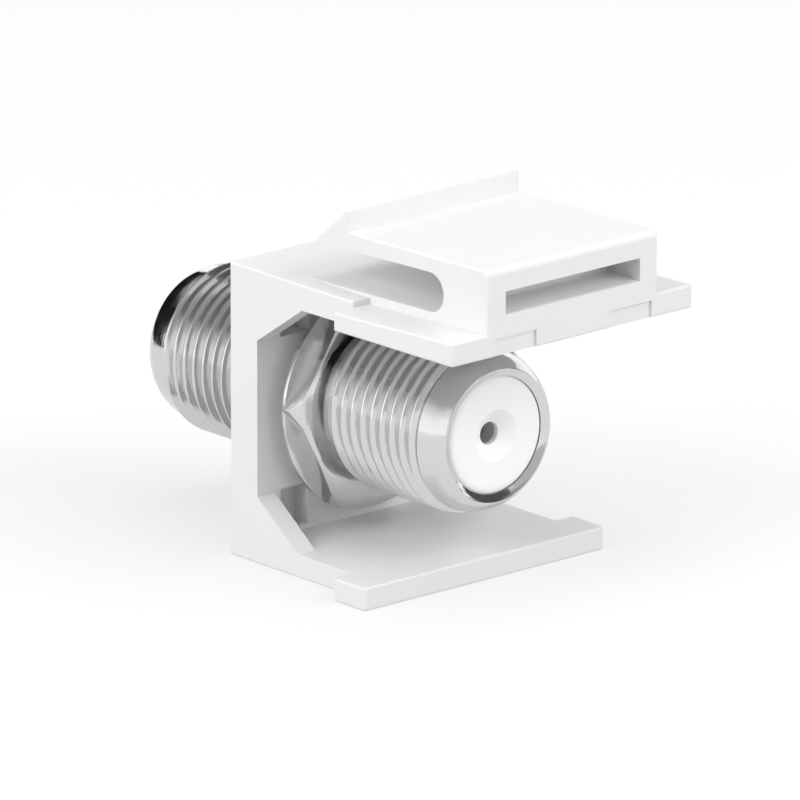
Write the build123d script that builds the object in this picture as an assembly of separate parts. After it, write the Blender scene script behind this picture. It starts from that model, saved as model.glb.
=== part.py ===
from build123d import *
import math
import os

# A coaxial F coupler fixed in a snap-in wall-plate insert, in millimetres.
# X runs across the insert. Y runs along the barrel, from the front port to the rear port. Z is up.
# The origin is where the barrel's axis meets the insert's front face.

# Coupler: thread and lengths
THREAD_RADIUS = 4.7625  # 3/8 inch major diameter, 32 threads to the inch
FRONT_PORT_LENGTH = 10.8  # front face of the insert to the front rim
REAR_PORT_END = 13.6  # front face of the insert to the rear rim
FRONT_COLLAR_LENGTH = 2.05
REAR_COLLAR_LENGTH = 1.5
COLLAR_RADIUS = THREAD_RADIUS - 0.3425
COLLAR_TAPER_LENGTH = 1.0
COLLAR_TAPER_BULGE = 0.08
SHANK_RADIUS = THREAD_RADIUS - 0.1625  # plain length through the insert's wall
SHANK_LEAD = 0.35  # how far the plain length stands out of the front face
SEAT_RADIUS = COLLAR_RADIUS - 0.97  # the disc's seat, inside the collar's wall
RIM_RADIUS = SEAT_RADIUS + 0.33
CROWN_RADIUS = SEAT_RADIUS + 0.25
CROWN_HEIGHT = 0.05  # from the rim's outer edge to its crown, along the barrel
LIP_RADIUS = SEAT_RADIUS - 0.17  # opening left by the rolled lip
LIP_DEPTH = 0.22  # from the crown down to the lip's edge
LIP_EDGE = 0.04
LIP_HEEL = LIP_DEPTH + 0.2  # from the crown to where the lip's underside meets the seat
THREAD_LEAD = 0.34  # length of the bevel at each end of a thread

# Coupler: flange, hex and relief groove
HEX_ACROSS_FLATS = 2 * (THREAD_RADIUS + 0.7925)
FLANGE_RADIUS = HEX_ACROSS_FLATS / 2 + 0.745
FLANGE_THICKNESS = 1.15
FLANGE_BEVEL = 0.9
FLANGE_EDGE_RADIUS = 0.08
HEX_THICKNESS = 1.25
HEX_TURN = 3.5  # degrees from level, of the corner on the +X side
HEX_FACE_RADIUS = HEX_ACROSS_FLATS / 2 - 0.255
HEX_FACE_SLOPE = 12.0  # degrees, of the turned ring round the face
HEX_CORNER_RADIUS = HEX_ACROSS_FLATS / 2 + 0.445  # where the corners' steep bevel starts
HEX_CORNER_ANGLE = 57.0
RELIEF_RADIUS = THREAD_RADIUS - 0.5625
RELIEF_DEPTH = 0.3
RELIEF_LENGTH = 0.5
RELIEF_MOUTH = 0.25  # width of the ring between the hex face and the relief

# Coupler: bore
BORE_RADIUS = SEAT_RADIUS - 0.45
DISC_CLEARANCE = 0.03

# Insulators
FACE_INSET = LIP_DEPTH - 0.07  # how far the disc's face lies inside the rim
DISC_THICKNESS = 2.4
DISC_EDGE_RADIUS = 0.55
SLEEVE_RADIUS = 1.7
FUNNEL_RADIUS = 1.45
FUNNEL_DEPTH = 0.57
ENTRY_RADIUS = 0.64
ENTRY_LENGTH = 0.3  # from the funnel to the contact's chamber

# Contact
CONTACT_RADIUS = 0.95
CONTACT_BORE_RADIUS = 0.46
CONTACT_BORE_DEPTH = 7.0
CONTACT_CLEARANCE = 0.05
CONTACT_INSET = 1.2  # from the end of its chamber to the contact's end
COLLAR_RING_RADIUS = 1.3
COLLAR_RING_LENGTH = 1.2
TINE_SLOT_WIDTH = 0.25
TINE_SLOT_DEPTH = 5.5
TINE_MOUTH = 0.2

# Insert: front wall and legs
BODY_WIDTH = 14.5
WALL_THICKNESS = 2.25
BOTTOM_LEG_THICKNESS = 1.3
TOP_LEG_THICKNESS = 1.5
TOP_LEG_DRAFT = 0.23  # rise of the top leg's underside, wall to end
SPACE_BELOW_FLANGE = 0.75
SPACE_ABOVE_FLANGE = 0.35
HOLE_CLEARANCE = 0.02
WING_START = 10.12
WING_OVERHANG = 1.32
BOTTOM_WING_LENGTH = 2.48
TOP_WING_LENGTH = 9.53
WING_TOP_DROP = 0.35
WING_TOP_RISE = 0.38
STRIP_WIDTH = 1.2  # side strip beside the latch

# Insert: latch
TOOTH_FACE = 8.4  # front face of the insert to the tooth's catching face
TOOTH_HEIGHT = 1.07
TOOTH_TIP_WIDTH = 0.25
TOOTH_RAMP_LENGTH = 2.45
ARM_THICKNESS = 1.09
ARM_TOP_RISE = 0.3
SLOT_START = 4.65
SLOT_FLOOR_RISE = 0.32
SLOT_HEIGHT = 2.2
SLOT_ROOF_RISE = 0.35
BLOCK_LENGTH = 3.55  # solid length behind the slot
WINDOW_SIDE = 1.27
WINDOW_HEIGHT = 1.28
WINDOW_SILL = 0.95
WINDOW_WEB = 0.9  # plastic left between the window and the slot
PAD_DEPTH = 0.15
PAD_WIDTH = 3.05
PAD_INNER = 2.57
PAD_TOP_DROP = 0.3

# Insert: corner webs and pockets
WEB_THICKNESS = 1.25
WEB_HEIGHT = 2.45
LOWER_WEB_LENGTH = 3.3
UPPER_WEB_LENGTH = 3.6
POCKET_SIDE_WALL = 1.65
POCKET_WIDTH = 1.96
POCKET_HEIGHT = 2.32
POCKET_LEDGE = 0.25
POCKET_DEPTH = 1.17

# Insert: edge rounding
EDGE_RADIUS = 0.12
WING_CORNER_RADIUS = 0.2
BLOCK_TOP_RADIUS = 0.4
BLOCK_SIDE_RADIUS = 0.15

# Heights above the insert's underside
AXIS_HEIGHT = BOTTOM_LEG_THICKNESS + SPACE_BELOW_FLANGE + FLANGE_RADIUS
TOP_LEG_UNDERSIDE = AXIS_HEIGHT + FLANGE_RADIUS + SPACE_ABOVE_FLANGE
WALL_HEIGHT = TOP_LEG_UNDERSIDE + TOP_LEG_THICKNESS

# Places along the barrel
BOTTOM_LEG_LENGTH = WING_START + BOTTOM_WING_LENGTH
TOP_LEG_LENGTH = WING_START + TOP_WING_LENGTH
FLANGE_END = WALL_THICKNESS + FLANGE_THICKNESS
HEX_END = FLANGE_END + HEX_THICKNESS
RELIEF_END = HEX_END + RELIEF_LENGTH
MIDDLE = (REAR_PORT_END - FRONT_PORT_LENGTH) / 2
HALF_LENGTH = (REAR_PORT_END + FRONT_PORT_LENGTH) / 2
HALF_CHAMBER = HALF_LENGTH - FACE_INSET - FUNNEL_DEPTH - ENTRY_LENGTH


def turned(points):
    """A solid turned about the barrel's axis from a closed outline of (radius, place) points."""
    outline = make_face(Polyline(*points, close=True))
    return revolve(outline, axis=Axis.Y)


def across(outline_face, width, centre=0.0):
    """A (Y, Z) outline made into a bar of a width along X."""
    return Pos(centre, 0, 0) * extrude(outline_face, amount=width / 2, both=True)


def side_face(points):
    """A closed face in the (Y, Z) plane."""
    return Plane.YZ * make_face(Polyline(*points, close=True))


def port_outline(rim, thread_end, sense):
    """Outer edge of one port's end, from the thread to the rim; sense is +1 towards +Y."""
    taper_start = rim - sense * COLLAR_TAPER_LENGTH
    edge = rim - sense * CROWN_HEIGHT
    collar = Line((COLLAR_RADIUS, thread_end), (COLLAR_RADIUS, taper_start))
    taper = SagittaArc((COLLAR_RADIUS, taper_start), (RIM_RADIUS, edge), -sense * COLLAR_TAPER_BULGE)
    crown = ThreePointArc((RIM_RADIUS, edge), (CROWN_RADIUS, rim), (2 * CROWN_RADIUS - RIM_RADIUS, edge))
    return [collar, taper, crown]


def port_inner(rim, sense):
    """Points of the rolled lip and the disc's seat, from the rim to the bore."""
    lip_start = rim - sense * LIP_DEPTH
    seat_end = rim - sense * (FACE_INSET + DISC_THICKNESS)
    return [
        (2 * CROWN_RADIUS - RIM_RADIUS, rim - sense * CROWN_HEIGHT),
        (LIP_RADIUS, lip_start),
        (LIP_RADIUS, lip_start - sense * LIP_EDGE),
        (SEAT_RADIUS, rim - sense * LIP_HEEL),
        (SEAT_RADIUS, seat_end),
        (BORE_RADIUS, seat_end),
    ]


def barrel():
    """The turned barrel: both ports, the flange and the relief groove, without the hex."""
    front_rim = -FRONT_PORT_LENGTH
    front_thread = front_rim + FRONT_COLLAR_LENGTH
    rear_thread = REAR_PORT_END - REAR_COLLAR_LENGTH
    front = port_outline(front_rim, front_thread, -1)
    rear = port_outline(REAR_PORT_END, rear_thread, 1)
    middle = Polyline(
        (COLLAR_RADIUS, front_thread),
        (THREAD_RADIUS, front_thread + THREAD_LEAD),
        (THREAD_RADIUS, -SHANK_LEAD),
        (SHANK_RADIUS, -SHANK_LEAD),
        (SHANK_RADIUS, WALL_THICKNESS),
        (FLANGE_RADIUS - FLANGE_BEVEL, WALL_THICKNESS),
        (FLANGE_RADIUS, WALL_THICKNESS + FLANGE_BEVEL),
        (FLANGE_RADIUS, FLANGE_END),
        (HEX_FACE_RADIUS, FLANGE_END),
        (HEX_FACE_RADIUS, HEX_END),
        (HEX_FACE_RADIUS - RELIEF_MOUTH, HEX_END),
        (RELIEF_RADIUS, HEX_END - RELIEF_DEPTH),
        (RELIEF_RADIUS, RELIEF_END),
        (THREAD_RADIUS, RELIEF_END + THREAD_LEAD),
        (THREAD_RADIUS, rear_thread - THREAD_LEAD),
        (COLLAR_RADIUS, rear_thread),
    )
    inside = port_inner(REAR_PORT_END, 1) + port_inner(front_rim, -1)[::-1]
    inner = Polyline(*inside)
    outline = make_face(Curve() + front + [middle] + rear + [inner])
    solid = revolve(outline, axis=Axis.Y)
    flange_edge = solid.edges().filter_by(GeomType.CIRCLE).filter_by(
        lambda edge: abs(edge.radius - FLANGE_RADIUS) < 0.001 and abs(edge.arc_center.Y - FLANGE_END) < 0.001
    )
    return fillet(flange_edge, FLANGE_EDGE_RADIUS)


def hexagon():
    """The hex, with its end turned to a shallow cone and its corners to a steep one, open for the relief."""
    corner_radius = HEX_ACROSS_FLATS / 2 / math.cos(math.radians(30))
    across_plane = Plane(origin=(0, FLANGE_END - FLANGE_EDGE_RADIUS, 0), x_dir=(1, 0, 0), z_dir=(0, 1, 0))
    height = HEX_THICKNESS + FLANGE_EDGE_RADIUS
    plan = across_plane * RegularPolygon(corner_radius, 6, rotation=-HEX_TURN)
    prism = extrude(plan, amount=height)
    wide = corner_radius + 0.4
    bevel_start = HEX_END - (HEX_CORNER_RADIUS - HEX_FACE_RADIUS) * math.tan(math.radians(HEX_FACE_SLOPE))
    bevel_end = bevel_start - (wide - HEX_CORNER_RADIUS) * math.tan(math.radians(HEX_CORNER_ANGLE))
    cone = turned([
        (HEX_FACE_RADIUS - 0.1, FLANGE_END - 1),
        (wide, FLANGE_END - 1),
        (wide, bevel_end),
        (HEX_CORNER_RADIUS, bevel_start),
        (HEX_FACE_RADIUS, HEX_END),
        (HEX_FACE_RADIUS - 0.1, HEX_END),
    ])
    return prism & cone


def coupler_body():
    return barrel() + hexagon()


def insulator():
    """One insulator, built for the rear port with the barrel's middle at zero."""
    face = HALF_LENGTH - FACE_INSET
    shoulder = face - DISC_THICKNESS
    radius = SEAT_RADIUS - DISC_CLEARANCE
    chamber = CONTACT_RADIUS + CONTACT_CLEARANCE
    ring = COLLAR_RING_RADIUS + CONTACT_CLEARANCE
    lower = Polyline(
        (ENTRY_RADIUS, face - FUNNEL_DEPTH),
        (ENTRY_RADIUS, HALF_CHAMBER),
        (chamber, HALF_CHAMBER),
        (chamber, COLLAR_RING_LENGTH / 2),
        (ring, COLLAR_RING_LENGTH / 2),
        (ring, 0),
        (SLEEVE_RADIUS, 0),
        (SLEEVE_RADIUS, shoulder),
        (radius, shoulder),
        (radius, face - DISC_EDGE_RADIUS),
    )
    edge = TangentArc(
        (radius, face - DISC_EDGE_RADIUS), (radius - DISC_EDGE_RADIUS, face), tangent=(0, 1)
    )
    upper = Polyline(
        (radius - DISC_EDGE_RADIUS, face),
        (FUNNEL_RADIUS, face),
        (ENTRY_RADIUS, face - FUNNEL_DEPTH),
    )
    return revolve(make_face(Curve() + [lower, edge, upper]), axis=Axis.Y)


def rear_insulator():
    return Pos(0, MIDDLE, 0) * insulator()


def front_insulator():
    return Pos(0, MIDDLE, 0) * Rot(0, 0, 180) * insulator()


def centre_contact():
    """The double-ended contact: a drilled and slotted pin with a locating ring at its middle."""
    half = HALF_CHAMBER - CONTACT_INSET
    bore_end = half - CONTACT_BORE_DEPTH
    mouth_radius = CONTACT_BORE_RADIUS + TINE_MOUTH
    half_profile = [
        (0, 0),
        (COLLAR_RING_RADIUS, 0),
        (COLLAR_RING_RADIUS, COLLAR_RING_LENGTH / 2),
        (CONTACT_RADIUS, COLLAR_RING_LENGTH / 2),
        (CONTACT_RADIUS, half),
        (mouth_radius, half),
        (CONTACT_BORE_RADIUS, half - TINE_MOUTH),
        (CONTACT_BORE_RADIUS, bore_end),
        (0, bore_end - CONTACT_BORE_RADIUS / 2),
    ]
    end = turned(half_profile)
    slot_length = TINE_SLOT_DEPTH + 1
    slot_place = half - TINE_SLOT_DEPTH + slot_length / 2
    end -= Pos(0, slot_place, 0) * Box(3 * CONTACT_RADIUS, slot_length, TINE_SLOT_WIDTH)
    end -= Pos(0, slot_place, 0) * Box(TINE_SLOT_WIDTH, slot_length, 3 * CONTACT_RADIUS)
    contact = end + Rot(0, 0, 180) * end
    return Pos(0, MIDDLE, 0) * contact


def front_wall_and_legs():
    """The C-shaped body: front wall, bottom leg and top leg up to the wings."""
    underside_end = TOP_LEG_UNDERSIDE + TOP_LEG_DRAFT * WING_START / TOP_LEG_LENGTH
    body = across(side_face([
        (0, 0),
        (WING_START, 0),
        (WING_START, BOTTOM_LEG_THICKNESS),
        (WALL_THICKNESS, BOTTOM_LEG_THICKNESS),
        (WALL_THICKNESS, TOP_LEG_UNDERSIDE),
        (WING_START, underside_end),
        (WING_START, WALL_HEIGHT),
        (0, WALL_HEIGHT),
    ]), BODY_WIDTH)
    front = body.edges().group_by(Axis.Y)[0]
    outside = body.edges().filter_by(Axis.Y)
    return fillet(front + outside.group_by(Axis.Z)[0] + outside.group_by(Axis.Z)[-1], EDGE_RADIUS)


def rounded_plate(plate):
    """A wing with its rear corners rounded and its edges broken, all but those at the leg."""
    plate = fillet(plate.edges().filter_by(Axis.Z).group_by(Axis.Y)[-1], WING_CORNER_RADIUS)
    faces = plate.faces().sort_by(Axis.Z)
    broad_edges = faces[0].edges() + faces[-1].edges()
    return fillet(broad_edges.group_by(Axis.Y)[1:], EDGE_RADIUS)


def wings():
    """The wide plates at the ends of both legs."""
    width = BODY_WIDTH + 2 * WING_OVERHANG
    underside_start = TOP_LEG_UNDERSIDE + TOP_LEG_DRAFT * WING_START / TOP_LEG_LENGTH
    top_start = WALL_HEIGHT - WING_TOP_DROP
    bottom = across(side_face([
        (WING_START, 0),
        (BOTTOM_LEG_LENGTH, 0),
        (BOTTOM_LEG_LENGTH, BOTTOM_LEG_THICKNESS),
        (WING_START, BOTTOM_LEG_THICKNESS),
    ]), width)
    bottom = rounded_plate(bottom)
    top = across(side_face([
        (WING_START, underside_start),
        (TOP_LEG_LENGTH, TOP_LEG_UNDERSIDE + TOP_LEG_DRAFT),
        (TOP_LEG_LENGTH, top_start + WING_TOP_RISE),
        (WING_START, top_start),
    ]), width)
    return bottom + rounded_plate(top)


def latch():
    """The ramped floor, the rear block and the springy arm, around the slot."""
    slot_end = TOP_LEG_LENGTH - BLOCK_LENGTH
    slot_radius = SLOT_HEIGHT / 2
    slot_centre = slot_end - slot_radius
    floor = WALL_HEIGHT + SLOT_FLOOR_RISE
    roof = floor + SLOT_HEIGHT
    toe_height = roof - SLOT_ROOF_RISE
    arm_top = toe_height + ARM_THICKNESS
    tip_height = arm_top + TOOTH_HEIGHT
    tip_start = TOOTH_FACE - TOOTH_TIP_WIDTH
    foot = TOP_LEG_UNDERSIDE + TOP_LEG_THICKNESS / 2
    outer = Polyline(
        (slot_centre, roof),
        (tip_start - TOOTH_RAMP_LENGTH, toe_height),
        (tip_start, tip_height),
        (TOOTH_FACE, tip_height),
        (TOOTH_FACE, arm_top),
        (TOP_LEG_LENGTH, arm_top + ARM_TOP_RISE),
        (TOP_LEG_LENGTH, foot),
        (SLOT_START, foot),
        (SLOT_START, WALL_HEIGHT),
        (slot_centre, floor),
    )
    slot = ThreePointArc((slot_centre, floor), (slot_end, floor + slot_radius), (slot_centre, roof))
    outline = Plane.YZ * make_face(Curve() + [outer, slot])
    body = across(outline, BODY_WIDTH - 2 * STRIP_WIDTH)
    rear_top = body.faces().sort_by(Axis.Y)[-1].edges().sort_by(Axis.Z)[-1]
    body = fillet(rear_top, BLOCK_TOP_RADIUS)
    return fillet(body.edges().filter_by(Axis.Z).group_by(Axis.Y)[-1], BLOCK_SIDE_RADIUS)


def corner_webs():
    """The four sloped webs that stiffen the corners between the wall and the legs."""
    inner = BODY_WIDTH / 2 - WEB_THICKNESS / 2
    buried = 0.3
    lower = side_face([
        (WALL_THICKNESS - buried, BOTTOM_LEG_THICKNESS - buried),
        (WALL_THICKNESS + LOWER_WEB_LENGTH, BOTTOM_LEG_THICKNESS - buried),
        (WALL_THICKNESS + LOWER_WEB_LENGTH, BOTTOM_LEG_THICKNESS),
        (WALL_THICKNESS, BOTTOM_LEG_THICKNESS + WEB_HEIGHT),
        (WALL_THICKNESS - buried, BOTTOM_LEG_THICKNESS + WEB_HEIGHT),
    ])
    upper = side_face([
        (WALL_THICKNESS - buried, TOP_LEG_UNDERSIDE + buried),
        (WALL_THICKNESS + UPPER_WEB_LENGTH, TOP_LEG_UNDERSIDE + buried),
        (WALL_THICKNESS + UPPER_WEB_LENGTH, TOP_LEG_UNDERSIDE),
        (WALL_THICKNESS, TOP_LEG_UNDERSIDE - WEB_HEIGHT),
        (WALL_THICKNESS - buried, TOP_LEG_UNDERSIDE - WEB_HEIGHT),
    ])
    webs = [across(face, WEB_THICKNESS, side * inner) for face in (lower, upper) for side in (-1, 1)]
    return webs


def corner_pockets():
    """The four pockets sunk in the wall's inner face, above and below the flange."""
    across_centre = BODY_WIDTH / 2 - POCKET_SIDE_WALL - POCKET_WIDTH / 2
    low = BOTTOM_LEG_THICKNESS + POCKET_LEDGE + POCKET_HEIGHT / 2
    high = TOP_LEG_UNDERSIDE - POCKET_LEDGE - POCKET_HEIGHT / 2
    box = Box(POCKET_WIDTH, 2 * POCKET_DEPTH, POCKET_HEIGHT)
    return [
        Pos(side * across_centre, WALL_THICKNESS, height) * box
        for side in (-1, 1)
        for height in (low, high)
    ]


def rear_face_cuts():
    """The window in the rear block and the two shallow pads below it."""
    window_width = BODY_WIDTH - 2 * STRIP_WIDTH - 2 * WINDOW_SIDE
    window_depth = BLOCK_LENGTH - WINDOW_WEB
    window_height = WALL_HEIGHT + WINDOW_SILL + WINDOW_HEIGHT / 2
    window = Pos(0, TOP_LEG_LENGTH, window_height) * Box(window_width, 2 * window_depth, WINDOW_HEIGHT)
    pad_top = WALL_HEIGHT - PAD_TOP_DROP
    pad_height = pad_top - TOP_LEG_UNDERSIDE
    pads = [
        Pos(side * (PAD_INNER + PAD_WIDTH / 2), TOP_LEG_LENGTH, pad_top - pad_height / 2)
        * Box(PAD_WIDTH, 2 * PAD_DEPTH, pad_height)
        for side in (-1, 1)
    ]
    return [window] + pads


def keystone_housing():
    housing = front_wall_and_legs() + wings() + latch() + corner_webs()
    hole = Pos(0, WALL_THICKNESS / 2, AXIS_HEIGHT) * Rot(90, 0, 0) * Cylinder(
        THREAD_RADIUS + HOLE_CLEARANCE, 2 * WALL_THICKNESS
    )
    housing = housing - hole - corner_pockets() - rear_face_cuts()
    return Pos(0, 0, -AXIS_HEIGHT) * housing


NODES = {
    "keystone_housing": keystone_housing,
    "coupler_body": coupler_body,
    "rear_insulator": rear_insulator,
    "front_insulator": front_insulator,
    "centre_contact": centre_contact,
}

os.makedirs("parts", exist_ok=True)
for name, make in NODES.items():
    export_step(make(), f"parts/{name}.step")
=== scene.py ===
import math

import bpy
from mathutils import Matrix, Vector


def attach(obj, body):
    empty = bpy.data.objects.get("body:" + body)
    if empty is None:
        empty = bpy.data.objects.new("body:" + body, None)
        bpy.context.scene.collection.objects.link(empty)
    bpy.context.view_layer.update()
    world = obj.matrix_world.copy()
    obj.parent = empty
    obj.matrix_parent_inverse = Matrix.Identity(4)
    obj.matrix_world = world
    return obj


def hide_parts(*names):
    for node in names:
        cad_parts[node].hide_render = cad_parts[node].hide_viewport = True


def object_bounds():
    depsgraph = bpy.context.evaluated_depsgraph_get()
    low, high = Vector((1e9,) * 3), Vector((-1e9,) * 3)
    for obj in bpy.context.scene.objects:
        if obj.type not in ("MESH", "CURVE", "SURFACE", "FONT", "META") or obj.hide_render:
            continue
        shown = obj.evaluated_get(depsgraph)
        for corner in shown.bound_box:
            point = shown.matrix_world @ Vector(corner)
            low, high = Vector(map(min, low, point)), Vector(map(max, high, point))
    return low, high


# Looks of a coaxial F coupler fixed in a snap-in wall-plate insert. Lengths below are millimetres.
# X runs across the insert, Y along the barrel's axis towards the rear port, and Z up.

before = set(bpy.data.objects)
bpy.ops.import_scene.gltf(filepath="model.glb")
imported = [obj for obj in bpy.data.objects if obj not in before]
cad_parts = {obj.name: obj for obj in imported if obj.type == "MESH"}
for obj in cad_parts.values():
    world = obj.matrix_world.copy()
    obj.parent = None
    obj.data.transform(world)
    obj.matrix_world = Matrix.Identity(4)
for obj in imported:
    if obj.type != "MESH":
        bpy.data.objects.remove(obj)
cad_low, cad_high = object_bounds()
MM = 0.001

# Turning
TURN_STEPS = 120
WELD = 0.0002
CUT_WELD = 0.00002
ODD_SHARE = 0.002
CAP_FACING = 0.99

# Thread
PITCH = 25.4 / 32
THREAD_RADIUS = 4.7625
THREAD_ROOT = 4.3
THREAD_LEAD = 0.2
CREST_FLAT = 0.1
FLANK_ANGLE = 30.0
CORNER_ROUND = 0.03
THREAD_OFFSETS = [0, 0.03, 0.05, 0.068, 0.1, 0.14, 0.18, 0.22, 0.26, 0.29, 0.31, 0.33, PITCH / 2]
FRONT_CREST = -8.42
REAR_CREST = 5.47

# Ports
FRONT_RIM = -10.8
REAR_RIM = 13.6
FRONT_THREAD_START = -8.75
FRONT_THREAD_END = -0.2
REAR_THREAD_START = 5.15
REAR_THREAD_END = 12.02
GROOVE_WIDTH = 0.06
GROOVE_EDGE = 0.04
COLLAR_START_RADIUS = 4.47
COLLAR_RADIUS = 4.35
TAPER_LENGTH = 1.0
TAPER_BULGE = 0.08
TAPER_STEPS = 8
RIM_RADIUS = 3.78
CROWN_RADIUS = 3.7
CROWN_HEIGHT = 0.05
CROWN_STEPS = 6
LIP_RADIUS = 3.28
LIP_DEPTH = 0.22
LIP_EDGE = 0.04
LIP_HEEL = 0.42
SEAT_RADIUS = 3.45
SEAT_DEPTH = 2.55
BORE_RADIUS = 3.0

# Flange, hex and relief groove
SHANK_RADIUS = 4.6
SHANK_BEVEL = 0.1
WALL_THICKNESS = 2.25
FLANGE_RADIUS = 6.3
FLANGE_BEVEL = 0.9
FLANGE_EDGE = 0.03
FLANGE_EDGE_STEPS = 4
FLANGE_END = 3.4
HEX_END = 4.65
HEX_ACROSS_FLATS = 11.11
HEX_TURN = 3.5
HEX_FACE_RADIUS = 5.3
HEX_FACE_SLOPE = 12.0
HEX_CORNER_RADIUS = 6.0
HEX_CORNER_ANGLE = 57.0
HEX_EDGE = 0.04
HEX_EDGE_SEGMENTS = 2
HEX_EDGE_ANGLE = 40.0
CONE_SIDE_MARGIN = 0.4
CONE_START_MARGIN = 1
RELIEF_MOUTH = 0.25
RELIEF_DEPTH = 0.3
RELIEF_RADIUS = 4.2

# Finishes: colours, depths of relief, marks or spots per millimetre, and ranges of roughness
SMOOTH_ANGLE = 28.0
FLAT_WEIGHT = 100
CLOUD_MIDDLE = (0.3, 0.7)
NICKEL = (0.69, 0.69, 0.685)
NICKEL_WAVE = 0.009
NICKEL_WAVES = 1.6
NICKEL_MARK = 0.006
NICKEL_MARKS = (9.0, 0.35)
NICKEL_PATCHES = 1.1
NICKEL_ROUGHNESS = (0.06, 0.17)
PLASTIC = (0.79, 0.79, 0.79)
PLASTIC_SINK = 0.03
PLASTIC_SINKS = 0.35
PLASTIC_GRAIN = 0.0015
PLASTIC_GRAINS = 14.0
PLASTIC_ROUGHNESS = (0.34, 0.46)
DIELECTRIC = (0.97, 0.97, 0.97)
DIELECTRIC_GRAIN = 0.002
DIELECTRIC_GRAINS = 8.0
DIELECTRIC_ROUGHNESS = (0.45, 0.6)
TIN = (0.5, 0.5, 0.5)
TIN_MARK = 0.002
TIN_MARKS = (12.0, 0.5)
TIN_ROUGHNESS = (0.2, 0.34)

# Room
WHITE = (1, 1, 1, 1)
WORLD_LIGHT = (0.32, 0.32, 0.32, 1)
REFLECTED_ROOM = [(0.0, 1.3), (0.3, 1.2), (0.5, 0.8), (0.7, 0.3), (1.0, 0.2)]
FLOOR_SIZE = 3000
FLOOR_COLOUR = (0.3, 0.3, 0.3)
FLOOR_GLOW = 0.68
# Painted shade: beside the part the floor's glow to the camera is lowered, fading back between the two
# distances of the reach
FLOOR_GLOW_IN_PAINTED_SHADE = 0.61
PAINTED_SHADE_REACH = (12, 30)
FLOOR_LIGHT = 0.22
FLOOR_REFLECTED = 0.6

# Lamps: name, place and radiance, where 1 is white
LAMP_SIZE = 350
LAMP_AIM = (0, 5, 0)
LAMPS = [
    ("overhead_lamp", (20, 30, 450), 1.8),
    ("left_lamp", (405, -20, 215), 4.2),
    ("right_lamp", (-138, 382, 216), 3.7),
]

# Cards that show in reflections only: name, place of the middle, width, height and level
CARDS = [
    ("far_card", (2, -75, 16), 76, 48.6, 0.01),
    ("left_card", (85, -90, 24), 130, 64, 1.6),
    ("near_card", (15, 110, 34), 120, 60, 0.6),
    ("right_card", (-110, 90, 62), 130, 110, 0.1),
]

# Camera, fitted to the insert's corners
CAMERA_AZIMUTH = 138.949
CAMERA_ELEVATION = 16.915
CAMERA_DISTANCE = 1061.8
CAMERA_TARGET = (1.179, 6.973, 0.738)
CAMERA_CLIP = 10
SENSOR = 36.0
LENS = 888.0


def activate(piece):
    bpy.ops.object.select_all(action="DESELECT")
    piece.select_set(True)
    bpy.context.view_layer.objects.active = piece


def edit(piece, mode):
    """Edit mode with nothing selected."""
    activate(piece)
    bpy.ops.object.mode_set(mode="EDIT")
    bpy.ops.mesh.select_mode(type=mode)
    bpy.ops.mesh.select_all(action="DESELECT")


def edit_all(piece):
    """Edit mode with everything selected."""
    edit(piece, "VERT")
    bpy.ops.mesh.select_all(action="SELECT")


def object_mode():
    bpy.ops.object.mode_set(mode="OBJECT")


def apply_all(piece):
    activate(piece)
    for name in [modifier.name for modifier in piece.modifiers]:
        bpy.ops.object.modifier_apply(modifier=name)


def settle(piece):
    """Puts a piece's place into its mesh."""
    activate(piece)
    bpy.ops.object.transform_apply(location=True, rotation=True, scale=True)


def pick(piece, mode, kind, wanted):
    """Edit mode with only those vertices or faces selected that a test wants."""
    edit(piece, mode)
    object_mode()
    for item in getattr(piece.data, kind):
        item.select = wanted(item)
    bpy.ops.object.mode_set(mode="EDIT")


def weld(piece):
    edit_all(piece)
    bpy.ops.mesh.remove_doubles(threshold=WELD * MM)
    object_mode()


def outward(piece):
    edit_all(piece)
    bpy.ops.mesh.normals_make_consistent(inside=False)
    object_mode()


def join(pieces, name):
    activate(pieces[0])
    for piece in pieces[1:]:
        piece.select_set(True)
    bpy.ops.object.join()
    pieces[0].name = name
    return pieces[0]


def line_of(points, name):
    """A line of edges through (radius, place) points in the plane of X and Y, extruded from one vertex."""
    bpy.ops.mesh.primitive_plane_add(size=MM, location=(points[0][0] * MM, points[0][1] * MM, 0))
    piece = bpy.context.object
    piece.name = name
    settle(piece)
    edit_all(piece)
    bpy.ops.mesh.merge(type="CENTER")
    for (radius, place), (next_radius, next_place) in zip(points, points[1:]):
        step = ((next_radius - radius) * MM, (next_place - place) * MM, 0)
        bpy.ops.mesh.extrude_vertices_move(TRANSFORM_OT_translate={"value": step})
    object_mode()
    return piece


def turned(points, name, rise=0.0, turns=1):
    """A line of points turned about the barrel's axis, with a rise in each turn for a helix."""
    piece = line_of(points, name)
    screw = piece.modifiers.new("turn", "SCREW")
    screw.axis = "Y"
    screw.angle = math.tau
    screw.steps = TURN_STEPS
    screw.render_steps = TURN_STEPS
    screw.screw_offset = rise * MM
    screw.iterations = turns
    screw.use_merge_vertices = rise == 0
    screw.merge_threshold = WELD * MM
    apply_all(piece)
    weld(piece)
    return piece


def arc(start, end, bulge, steps):
    """Points of a shallow arc from start to end, pushed out by the bulge on the left of the way."""
    along = Vector(end) - Vector(start)
    left = Vector((-along.y, along.x)).normalized()
    points = []
    for step in range(steps + 1):
        share = step / steps
        height = 4 * bulge * share * (1 - share)
        point = Vector(start) + along * share + left * height
        points.append((point.x, point.y))
    return points


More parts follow.
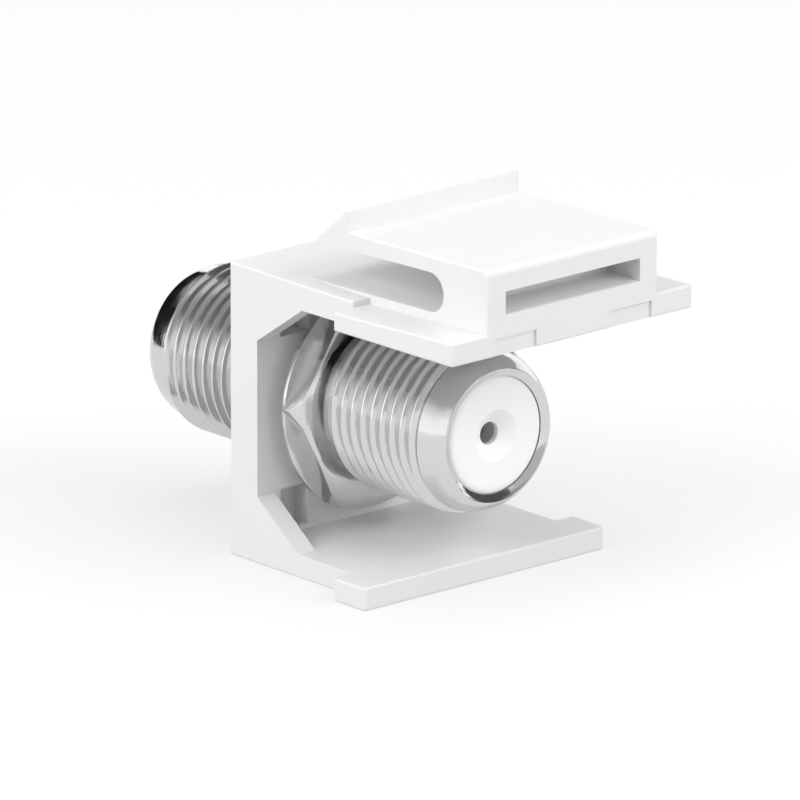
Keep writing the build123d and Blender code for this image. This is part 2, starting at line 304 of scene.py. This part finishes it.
def port_line(rim, thread_end, sense):
    """A port's line from the thread over a fine groove, the collar and the rolled lip to the bore."""
    taper_start = rim - sense * TAPER_LENGTH
    edge = rim - sense * CROWN_HEIGHT
    taper = arc((COLLAR_RADIUS, taper_start), (RIM_RADIUS, edge), -sense * TAPER_BULGE, TAPER_STEPS)
    crown_end = 2 * CROWN_RADIUS - RIM_RADIUS
    crown = arc((RIM_RADIUS, edge), (crown_end, edge), -sense * CROWN_HEIGHT, CROWN_STEPS)
    lip = rim - sense * LIP_DEPTH
    seat_end = rim - sense * SEAT_DEPTH
    groove_end = thread_end + sense * GROOVE_WIDTH
    return (
        [
            (THREAD_ROOT, thread_end),
            (THREAD_ROOT, groove_end),
            (COLLAR_START_RADIUS - GROOVE_EDGE, groove_end),
            (COLLAR_START_RADIUS, groove_end + sense * GROOVE_EDGE),
        ]
        + taper
        + crown[1:]
        + [
            (LIP_RADIUS, lip),
            (LIP_RADIUS, lip - sense * LIP_EDGE),
            (SEAT_RADIUS, rim - sense * LIP_HEEL),
            (SEAT_RADIUS, seat_end),
            (BORE_RADIUS, seat_end),
        ]
    )


def round_step(height):
    """The height where it is above zero, else zero, with a rounded change between the two."""
    if height > CORNER_ROUND:
        return height
    if height < -CORNER_ROUND:
        return 0.0
    return (height + CORNER_ROUND) ** 2 / (4 * CORNER_ROUND)


def thread_radius(offset):
    """Radius of the thread at an offset along the axis from its crest, with rounded corners."""
    slope = 1 / math.tan(math.radians(FLANK_ANGLE))
    flank = THREAD_RADIUS - (abs(offset) - CREST_FLAT / 2) * slope
    low = round_step(flank - THREAD_ROOT) + THREAD_ROOT
    return THREAD_RADIUS - round_step(THREAD_RADIUS - low)


def thread_line(crest):
    """One pitch of the thread's outline, from root to root."""
    offsets = [-offset for offset in reversed(THREAD_OFFSETS[1:])] + THREAD_OFFSETS
    return [(thread_radius(offset), crest + offset) for offset in offsets]


def end_limit(place, start, start_radius, end, end_radius):
    """Largest radius that the bevels at a thread's two ends leave at a place."""
    rising = start_radius + (place - start) * (THREAD_RADIUS - start_radius) / THREAD_LEAD
    falling = end_radius + (end - place) * (THREAD_RADIUS - end_radius) / THREAD_LEAD
    return min(rising, falling)


def drop_odd_corners(tube, place):
    """Dissolves the corners of a cut that lie between the turning steps."""
    step = math.tau / TURN_STEPS

    def odd(vertex):
        if abs(vertex.co.y - place * MM) > WELD * MM:
            return False
        steps = math.atan2(vertex.co.z, vertex.co.x) / step
        return abs(steps - round(steps)) > ODD_SHARE

    pick(tube, "VERT", "vertices", odd)
    bpy.ops.mesh.dissolve_verts()
    object_mode()


def threaded_tube(name, crest, start, start_radius, end, end_radius):
    """A length of right-hand thread whose two ends run out in bevels and finish as plain circles."""
    turns_before = math.ceil((crest - start) / PITCH) + 2
    first_crest = crest - turns_before * PITCH
    turns = math.ceil((end - first_crest) / PITCH) + 2
    tube = turned(thread_line(first_crest), name, PITCH, turns)
    for place, away in ((start, -1), (end, 1)):
        edit_all(tube)
        bpy.ops.mesh.bisect(
            plane_co=(0, place * MM, 0), plane_no=(0, away, 0), clear_outer=True, threshold=CUT_WELD * MM
        )
        object_mode()
        drop_odd_corners(tube, place)
    for vertex in tube.data.vertices:
        radius = math.hypot(vertex.co.x, vertex.co.z) / MM
        limit = end_limit(vertex.co.y / MM, start, start_radius, end, end_radius)
        if radius > limit:
            vertex.co.x *= limit / radius
            vertex.co.z *= limit / radius
    return tube


def middle_line():
    """The line from the front thread over the shank, flange and hub to the rear thread."""
    edge_arc = []
    for step in range(FLANGE_EDGE_STEPS + 1):
        angle = math.radians(90 * step / FLANGE_EDGE_STEPS)
        edge_arc.append((
            FLANGE_RADIUS - FLANGE_EDGE * (1 - math.cos(angle)),
            FLANGE_END - FLANGE_EDGE * (1 - math.sin(angle)),
        ))
    return (
        [
            (THREAD_ROOT, FRONT_THREAD_END),
            (SHANK_RADIUS, FRONT_THREAD_END + SHANK_BEVEL),
            (SHANK_RADIUS, WALL_THICKNESS),
            (FLANGE_RADIUS - FLANGE_BEVEL, WALL_THICKNESS),
            (FLANGE_RADIUS, WALL_THICKNESS + FLANGE_BEVEL),
        ]
        + edge_arc
        + [
            (HEX_FACE_RADIUS, FLANGE_END),
            (HEX_FACE_RADIUS, HEX_END),
            (HEX_FACE_RADIUS - RELIEF_MOUTH, HEX_END),
            (RELIEF_RADIUS, HEX_END - RELIEF_DEPTH),
            (RELIEF_RADIUS, REAR_THREAD_START),
        ]
    )


def boolean(piece, other, operation):
    """Joins or trims a piece by another, which is used up."""
    change = piece.modifiers.new(operation.lower(), "BOOLEAN")
    change.operation = operation
    change.solver = "EXACT"
    change.object = other
    apply_all(piece)
    bpy.data.objects.remove(other)


def hexagon():
    """The hex, its end turned to a shallow cone, its corners to a steep one and its sharp edges broken."""
    corner = HEX_ACROSS_FLATS / 2 / math.cos(math.radians(30))
    start = FLANGE_END - FLANGE_EDGE
    bpy.ops.mesh.primitive_cylinder_add(
        vertices=6, radius=corner * MM, depth=(HEX_END - start) * MM,
        location=(0, (HEX_END + start) / 2 * MM, 0), rotation=(math.radians(90), 0, 0)
    )
    piece = bpy.context.object
    piece.name = "hexagon"
    settle(piece)
    piece.rotation_euler.y = math.radians(30 - HEX_TURN)
    settle(piece)
    wide = corner + CONE_SIDE_MARGIN
    bevel_start = HEX_END - (HEX_CORNER_RADIUS - HEX_FACE_RADIUS) * math.tan(math.radians(HEX_FACE_SLOPE))
    bevel_end = bevel_start - (wide - HEX_CORNER_RADIUS) * math.tan(math.radians(HEX_CORNER_ANGLE))
    cone = turned([
        (0, start - CONE_START_MARGIN),
        (wide, start - CONE_START_MARGIN),
        (wide, bevel_end),
        (HEX_CORNER_RADIUS, bevel_start),
        (HEX_FACE_RADIUS, HEX_END),
        (0, HEX_END),
    ], "corner_cone")
    outward(cone)
    boolean(piece, cone, "INTERSECT")
    soften = piece.modifiers.new("edges", "BEVEL")
    soften.width = HEX_EDGE * MM
    soften.segments = HEX_EDGE_SEGMENTS
    soften.limit_method = "ANGLE"
    soften.angle_limit = math.radians(HEX_EDGE_ANGLE)
    apply_all(piece)
    return piece


def middle():
    """The shank, flange, hub and relief groove with the hex, open at both ends where the threads join on."""
    piece = turned([(0, FRONT_THREAD_END)] + middle_line() + [(0, REAR_THREAD_START)], "middle")
    outward(piece)
    boolean(piece, hexagon(), "UNION")

    def cap(face):
        flat = abs(face.normal.y) > CAP_FACING
        place = face.center.y / MM
        return flat and min(abs(place - FRONT_THREAD_END), abs(place - REAR_THREAD_START)) < WELD

    pick(piece, "FACE", "polygons", cap)
    bpy.ops.mesh.delete(type="FACE")
    object_mode()
    return piece


def coupler():
    """The barrel in one closed mesh: both threads, the middle with its hex, and the ends with the bore."""
    front = threaded_tube(
        "front_thread", FRONT_CREST, FRONT_THREAD_START, THREAD_ROOT, FRONT_THREAD_END, THREAD_ROOT
    )
    rear = threaded_tube(
        "rear_thread", REAR_CREST, REAR_THREAD_START, RELIEF_RADIUS, REAR_THREAD_END, THREAD_ROOT
    )
    ends = port_line(REAR_RIM, REAR_THREAD_END, 1) + port_line(FRONT_RIM, FRONT_THREAD_START, -1)[::-1]
    ends_and_bore = turned(ends, "ends_and_bore")
    piece = join([ends_and_bore, front, rear, middle()], "coupler_barrel")
    weld(piece)
    outward(piece)
    activate(piece)
    bpy.ops.object.shade_smooth_by_angle(angle=math.radians(SMOOTH_ANGLE))
    keep_flats = piece.modifiers.new("flats", "WEIGHTED_NORMAL")
    keep_flats.keep_sharp = True
    keep_flats.weight = FLAT_WEIGHT
    apply_all(piece)
    piece.data.materials.clear()
    piece.data.materials.append(nickel())
    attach(piece, "root")
    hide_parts("coupler_body")


def material(name, colour, roughness, metallic=0.0):
    """A material with its shader, and the tree to add a finish to."""
    made = bpy.data.materials.new(name)
    made.use_nodes = True
    shader = made.node_tree.nodes["Principled BSDF"]
    shader.inputs["Base Color"].default_value = (*colour, 1)
    shader.inputs["Roughness"].default_value = roughness
    shader.inputs["Metallic"].default_value = metallic
    return made, made.node_tree, shader


def glowing(name, colour):
    """A matt material of the room, whose shader gives off white light."""
    made, tree, shader = material(name, colour, 1.0)
    shader.inputs["Specular IOR Level"].default_value = 0.0
    shader.inputs["Emission Color"].default_value = WHITE
    return made, tree, shader


def math_node(tree, kind, operation):
    """A math or vector math node set to its operation."""
    node = tree.nodes.new(kind)
    node.operation = operation
    return node


def map_range(tree, from_range, to_range):
    """A node that spreads one range to another."""
    spread = tree.nodes.new("ShaderNodeMapRange")
    spread.inputs["From Min"].default_value = from_range[0]
    spread.inputs["From Max"].default_value = from_range[1]
    spread.inputs["To Min"].default_value = to_range[0]
    spread.inputs["To Max"].default_value = to_range[1]
    return spread


def own_place(tree):
    """The place on the piece in its own coordinates."""
    return tree.nodes.new("ShaderNodeTexCoord").outputs["Object"]


def cloud(tree, scale, detail=3):
    """A noise texture in the piece's own millimetres; scale is in spots per millimetre along X, Y and Z."""
    mapping = tree.nodes.new("ShaderNodeMapping")
    mapping.inputs["Scale"].default_value = [share / MM for share in scale]
    tree.links.new(own_place(tree), mapping.inputs["Vector"])
    noise = tree.nodes.new("ShaderNodeTexNoise")
    noise.inputs["Scale"].default_value = 1
    noise.inputs["Detail"].default_value = detail
    tree.links.new(mapping.outputs["Vector"], noise.inputs["Vector"])
    return noise


def tool_marks(tree, along, around):
    """Noise drawn out round the barrel's axis, as by a lathe tool; both are in marks per millimetre."""
    noise = cloud(tree, (around, along, around))
    noise.noise_dimensions = "4D"
    flat = math_node(tree, "ShaderNodeVectorMath", "MULTIPLY")
    flat.inputs[1].default_value = (along / MM, 0, along / MM)
    radius = math_node(tree, "ShaderNodeVectorMath", "LENGTH")
    tree.links.new(own_place(tree), flat.inputs[0])
    tree.links.new(flat.outputs["Vector"], radius.inputs[0])
    tree.links.new(radius.outputs["Value"], noise.inputs["W"])
    return noise


def roughen(tree, shader, source, roughness):
    """Spreads a texture's middle over a range of roughness."""
    spread = map_range(tree, CLOUD_MIDDLE, roughness)
    tree.links.new(source.outputs["Fac"], spread.inputs["Value"])
    tree.links.new(spread.outputs["Result"], shader.inputs["Roughness"])


def relieve(tree, shader, layers):
    """Gives a shader relief from (texture, depth) layers, each lying on the one before it."""
    below = None
    for source, depth in layers:
        relief = tree.nodes.new("ShaderNodeBump")
        relief.inputs["Distance"].default_value = depth * MM
        tree.links.new(source.outputs["Fac"], relief.inputs["Height"])
        if below:
            tree.links.new(below.outputs["Normal"], relief.inputs["Normal"])
        below = relief
    tree.links.new(below.outputs["Normal"], shader.inputs["Normal"])


def nickel():
    """Bright nickel plate over turned brass: fine tool marks, a slight waviness and duller patches."""
    made, tree, shader = material("nickel_plate", NICKEL, 0.15, metallic=1.0)
    waves = cloud(tree, [NICKEL_WAVES] * 3, detail=2)
    marks = tool_marks(tree, *NICKEL_MARKS)
    relieve(tree, shader, [(waves, NICKEL_WAVE), (marks, NICKEL_MARK)])
    roughen(tree, shader, cloud(tree, [NICKEL_PATCHES] * 3, detail=6), NICKEL_ROUGHNESS)
    return made


def moulded():
    """White ABS with the faint grain and the slight unevenness of a moulded face."""
    made, tree, shader = material("white_plastic", PLASTIC, 0.4)
    sink = cloud(tree, [PLASTIC_SINKS] * 3, detail=1)
    grain = cloud(tree, [PLASTIC_GRAINS] * 3, detail=4)
    relieve(tree, shader, [(sink, PLASTIC_SINK), (grain, PLASTIC_GRAIN)])
    roughen(tree, shader, grain, PLASTIC_ROUGHNESS)
    return made


def dielectric():
    """Soft white insulating plastic, a little brighter and duller than the insert."""
    made, tree, shader = material("white_dielectric", DIELECTRIC, 0.5)
    grain = cloud(tree, [DIELECTRIC_GRAINS] * 3)
    relieve(tree, shader, [(grain, DIELECTRIC_GRAIN)])
    roughen(tree, shader, grain, DIELECTRIC_ROUGHNESS)
    return made


def tinned():
    """Tinned brass, turned and slotted."""
    made, tree, shader = material("contact_brass", TIN, 0.25, metallic=1.0)
    marks = tool_marks(tree, *TIN_MARKS)
    relieve(tree, shader, [(marks, TIN_MARK)])
    roughen(tree, shader, marks, TIN_ROUGHNESS)
    return made


def dress(node, finish):
    """Gives a node of the model its finish."""
    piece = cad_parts[node]
    piece.data.materials.clear()
    piece.data.materials.append(finish)


def camera():
    azimuth = math.radians(CAMERA_AZIMUTH)
    elevation = math.radians(CAMERA_ELEVATION)
    back = Vector((
        math.sin(azimuth) * math.cos(elevation), -math.cos(azimuth) * math.cos(elevation), math.sin(elevation)
    ))
    bpy.ops.object.camera_add()
    eye = bpy.context.object
    eye.name = "camera"
    eye.data.sensor_width = SENSOR
    eye.data.lens = LENS
    eye.data.clip_start = CAMERA_DISTANCE * MM / CAMERA_CLIP
    eye.data.clip_end = CAMERA_DISTANCE * MM * CAMERA_CLIP
    eye.location = (Vector(CAMERA_TARGET) + back * CAMERA_DISTANCE) * MM
    eye.rotation_euler = (-back).to_track_quat("-Z", "Y").to_euler()
    bpy.context.scene.camera = eye


def lamp(name, place, radiance):
    """A square soft lamp at a place, aimed at the barrel's middle."""
    bpy.ops.object.light_add(type="AREA")
    light = bpy.context.object
    light.name = name
    light.data.shape = "SQUARE"
    light.data.size = LAMP_SIZE * MM
    light.data.energy = radiance * math.pi * (LAMP_SIZE * MM) ** 2
    light.visible_glossy = False
    light.location = Vector(place) * MM
    light.rotation_euler = (Vector(LAMP_AIM) - Vector(place)).to_track_quat("-Z", "Y").to_euler()


def card(name, place, width, height, level):
    """An upright card of an even level that faces the object and shows only in its reflections."""
    bpy.ops.mesh.primitive_plane_add(size=MM)
    board = bpy.context.object
    board.name = name
    board.scale = (width, height, 1)
    board.rotation_euler = Vector((-place[0], -place[1], 0)).to_track_quat("Z", "Y").to_euler()
    board.location = Vector(place) * MM
    settle(board)
    made, tree, shader = glowing(name, (0, 0, 0))
    shader.inputs["Emission Strength"].default_value = level
    board.data.materials.append(made)
    board.visible_camera = False
    board.visible_diffuse = False
    board.visible_shadow = False
    board.visible_transmission = False


def surroundings():
    """A plain room: white to the camera, a soft light, and in reflections pale low down and dim above."""
    world = bpy.data.worlds.new("studio")
    bpy.context.scene.world = world
    world.use_nodes = True
    tree = world.node_tree
    path = tree.nodes.new("ShaderNodeLightPath")
    direction = tree.nodes.new("ShaderNodeTexCoord")
    parts = tree.nodes.new("ShaderNodeSeparateXYZ")
    tree.links.new(direction.outputs["Generated"], parts.inputs["Vector"])
    ramp = tree.nodes.new("ShaderNodeValToRGB")
    tree.links.new(parts.outputs["Z"], ramp.inputs["Fac"])
    stops = ramp.color_ramp.elements
    for stop, (height, level) in ((stops[0], REFLECTED_ROOM[0]), (stops[1], REFLECTED_ROOM[-1])):
        stop.position = height
        stop.color = (level, level, level, 1)
    for height, level in REFLECTED_ROOM[1:-1]:
        stops.new(height).color = (level, level, level, 1)
    before = None
    for ray, colour in (("Is Glossy Ray", ramp.outputs["Color"]), ("Is Camera Ray", None)):
        mix = tree.nodes.new("ShaderNodeMix")
        mix.data_type = "RGBA"
        mix.inputs["A"].default_value = WORLD_LIGHT
        mix.inputs["B"].default_value = WHITE
        tree.links.new(path.outputs[ray], mix.inputs["Factor"])
        if before:
            tree.links.new(before, mix.inputs["A"])
        if colour:
            tree.links.new(colour, mix.inputs["B"])
        before = mix.outputs["Result"]
    tree.links.new(before, tree.nodes["Background"].inputs["Color"])


def floor():
    """The table top: white to the camera but with painted shade beside the part, where its glow is lowered,
    and a light to the object.
    """
    centre = (cad_low + cad_high) / 2
    bpy.ops.mesh.primitive_plane_add(size=FLOOR_SIZE * MM, location=(centre.x, centre.y, cad_low.z))
    top = bpy.context.object
    top.name = "table_top"
    settle(top)
    made, tree, shader = glowing("table_top", FLOOR_COLOUR)
    shader.inputs["Roughness"].default_value = 0.9
    # Painted shade: the glow to the camera drops towards the part's middle
    reach = math_node(tree, "ShaderNodeVectorMath", "LENGTH")
    tree.links.new(own_place(tree), reach.inputs[0])
    near, far = PAINTED_SHADE_REACH
    painted_shade = map_range(tree, (near * MM, far * MM), (FLOOR_GLOW_IN_PAINTED_SHADE - FLOOR_LIGHT, FLOOR_GLOW - FLOOR_LIGHT))
    tree.links.new(reach.outputs["Value"], painted_shade.inputs["Value"])
    path = tree.nodes.new("ShaderNodeLightPath")
    seen = math_node(tree, "ShaderNodeMath", "MULTIPLY_ADD")
    tree.links.new(path.outputs["Is Camera Ray"], seen.inputs[0])
    tree.links.new(painted_shade.outputs["Result"], seen.inputs[1])
    seen.inputs[2].default_value = FLOOR_LIGHT
    glow = math_node(tree, "ShaderNodeMath", "MULTIPLY_ADD")
    tree.links.new(path.outputs["Is Glossy Ray"], glow.inputs[0])
    glow.inputs[1].default_value = FLOOR_REFLECTED - FLOOR_LIGHT
    tree.links.new(seen.outputs["Value"], glow.inputs[2])
    tree.links.new(glow.outputs["Value"], shader.inputs["Emission Strength"])
    top.data.materials.append(made)


bpy.context.scene.view_settings.view_transform = "Standard"
camera()
surroundings()
floor()
for row in LAMPS:
    lamp(*row)
for row in CARDS:
    card(*row)
coupler()
dress("keystone_housing", moulded())
for insulator in ("rear_insulator", "front_insulator"):
    dress(insulator, dielectric())
dress("centre_contact", tinned())
